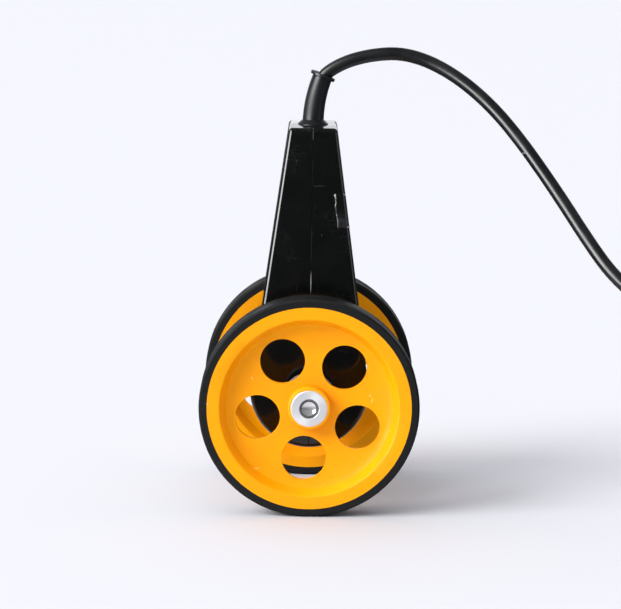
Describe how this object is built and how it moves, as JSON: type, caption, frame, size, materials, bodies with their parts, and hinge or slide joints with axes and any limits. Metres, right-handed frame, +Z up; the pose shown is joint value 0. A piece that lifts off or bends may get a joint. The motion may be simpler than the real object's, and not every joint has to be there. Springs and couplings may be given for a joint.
{
  "type": "cable length counter",
  "caption": "Hand-held length measuring head: two rubber-tyred wheels on one axle turn an encoder in a moulded handle with a signal cable.",
  "frame": {"origin": "on the floor under the middle of the axle, midway between the two wheels", "axes": "+Z up along the handle, +Y along the axle away from the front wheel, +X to the right, where the cable leaves"},
  "size_m": [0.3446, 0.1196, 0.2009],
  "materials": {
    "yellow_plastic": "satin moulded polyamide",
    "tyre_rubber": "smooth black rubber, slightly glossy",
    "black_plastic": "smooth glossy moulded plastic",
    "cable_sheath": "smooth black cable sheath",
    "boot_rubber": "soft black rubber",
    "hub_aluminium": "turned",
    "steel": "bright steel",
    "bearing_ball_steel": "polished steel",
    "dark_screw_steel": "black oxide",
    "plug_nickel": "nickel plated brass",
    "contact_gold": "gilded",
    "board_laminate": "green solder resist",
    "dark_plastic": "matt moulded plastic",
    "cream_plastic": "natural nylon",
    "conductor_sheath": "insulated wire"
  },
  "bodies": {
    "housing": {"left_shell": "black_plastic", "right_shell": "black_plastic", "shell_screws": "steel", "front_bearing_outer_ring": "steel", "rear_bearing_outer_ring": "steel", "front_bearing_shields": "steel", "rear_bearing_shields": "steel", "circuit_board": "board_laminate", "board_screws": "steel", "light_barrier": "dark_plastic", "wire_header": "cream_plastic", "wire_plug": "cream_plastic", "conductors": "conductor_sheath", "inner_cable": "cable_sheath", "cable_clamp": "dark_plastic", "clamp_screws": "steel", "cable_boot": "boot_rubber", "cord": "cable_sheath", "cord_coil": "cable_sheath", "plug_grip": "boot_rubber", "plug_sleeve": "plug_nickel", "plug_insert": "dark_plastic", "plug_contacts": "contact_gold"},
    "wheel_set": {"axle": "steel", "front_wheel": "yellow_plastic", "rear_wheel": "yellow_plastic", "front_tyre": "tyre_rubber", "rear_tyre": "tyre_rubber", "front_hub": "hub_aluminium", "rear_hub": "hub_aluminium", "hub_grub_screws": "dark_screw_steel", "encoder_disc": "steel", "encoder_collar": "hub_aluminium", "encoder_washer": "hub_aluminium", "encoder_grub_screw": "dark_screw_steel", "retaining_rings": "steel", "front_bearing_inner_ring": "steel", "rear_bearing_inner_ring": "steel"},
    "front_balls": {"front_bearing_balls": "bearing_ball_steel"},
    "rear_balls": {"rear_bearing_balls": "bearing_ball_steel"}
  },
  "joints": [
    {"name": "wheel_spin", "type": "hinge", "parent": "housing", "child": "wheel_set", "pos_m": [0, 0, 0.04775], "axis": [0, 1, 0], "continuous": true},
    {"name": "front_ball_roll", "type": "hinge", "parent": "housing", "child": "front_balls", "pos_m": [0, -0.015, 0.04775], "axis": [0, 1, 0], "continuous": true},
    {"name": "rear_ball_roll", "type": "hinge", "parent": "housing", "child": "rear_balls", "pos_m": [0, 0.015, 0.04775], "axis": [0, 1, 0], "continuous": true}
  ],
  "couplings": [
    {"joint": "front_ball_roll", "follows": "wheel_spin", "ratio": 0.368},
    {"joint": "rear_ball_roll", "follows": "wheel_spin", "ratio": 0.368}
  ]
}
